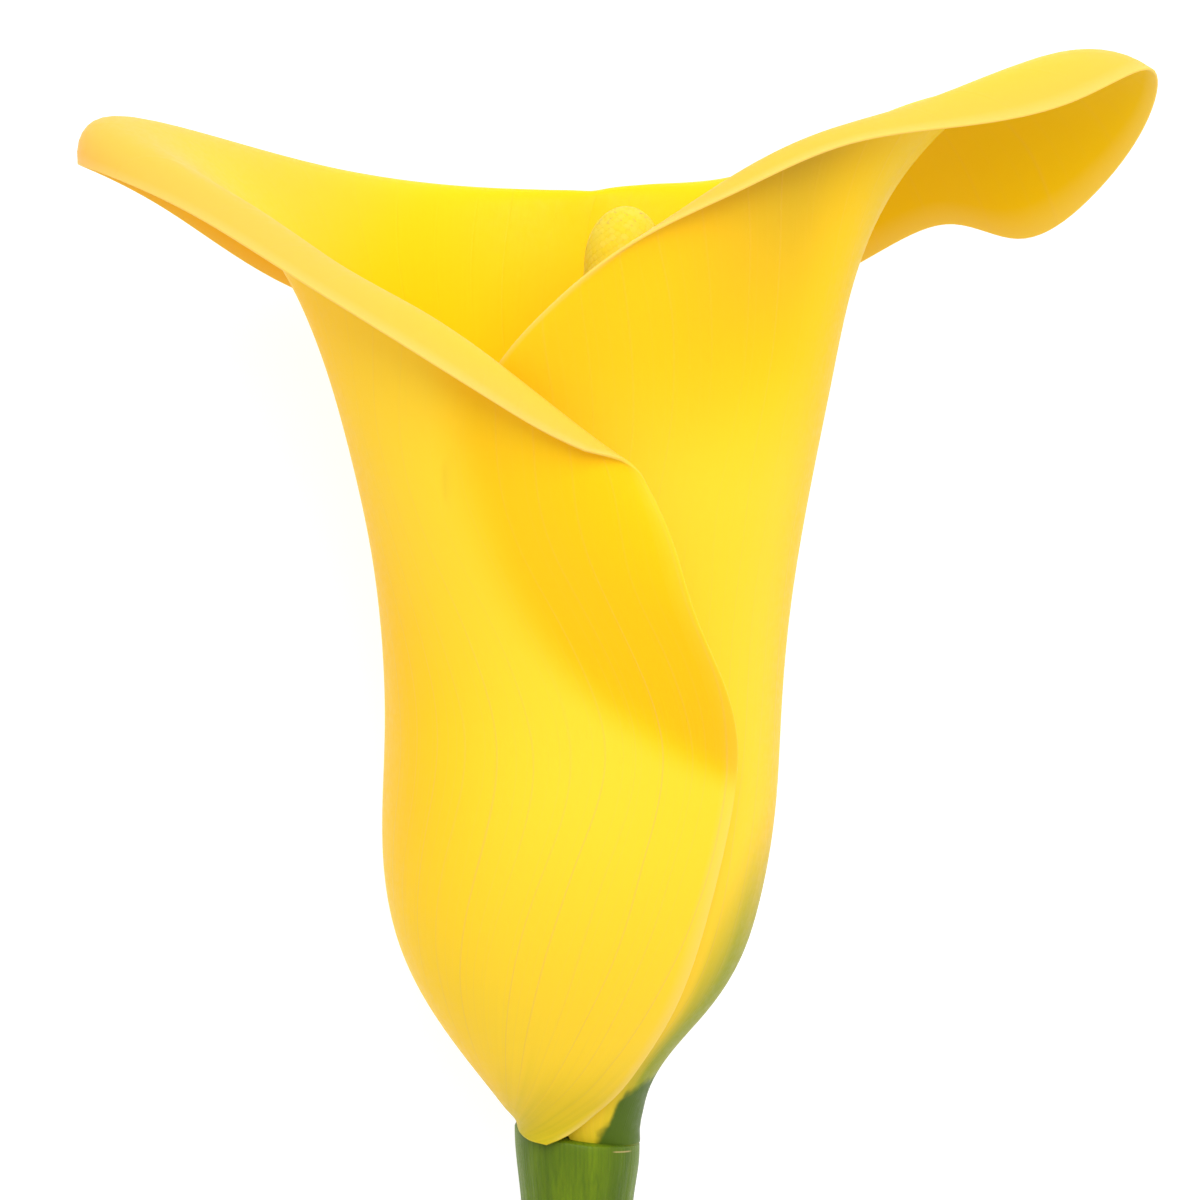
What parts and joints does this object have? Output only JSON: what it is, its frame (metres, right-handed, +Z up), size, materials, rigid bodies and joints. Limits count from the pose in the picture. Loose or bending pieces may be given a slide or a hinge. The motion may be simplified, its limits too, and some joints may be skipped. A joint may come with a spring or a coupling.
{
  "type": "calla lily flower",
  "caption": "Yellow calla lily flower: a single rolled petal-like leaf flaring into two curled wings round a slim spadix, on a cut green stem, lying on its back.",
  "frame": {"origin": "middle of the footprint, on the surface that the flower lies on", "axes": "+Y from the cut end of the stem to the mouth, +Z up out of the flower's front, +X to the side of its higher wing"},
  "size_m": [0.0856, 0.18, 0.0472],
  "materials": {
    "spathe": "satin, waxy petal tissue",
    "spadix": "matte, grainy with small florets",
    "stem": "satin, fleshy green stem"
  },
  "bodies": {
    "root": {"spathe": "spathe", "spadix": "spadix", "stem": "stem"}
  },
  "joints": []
}
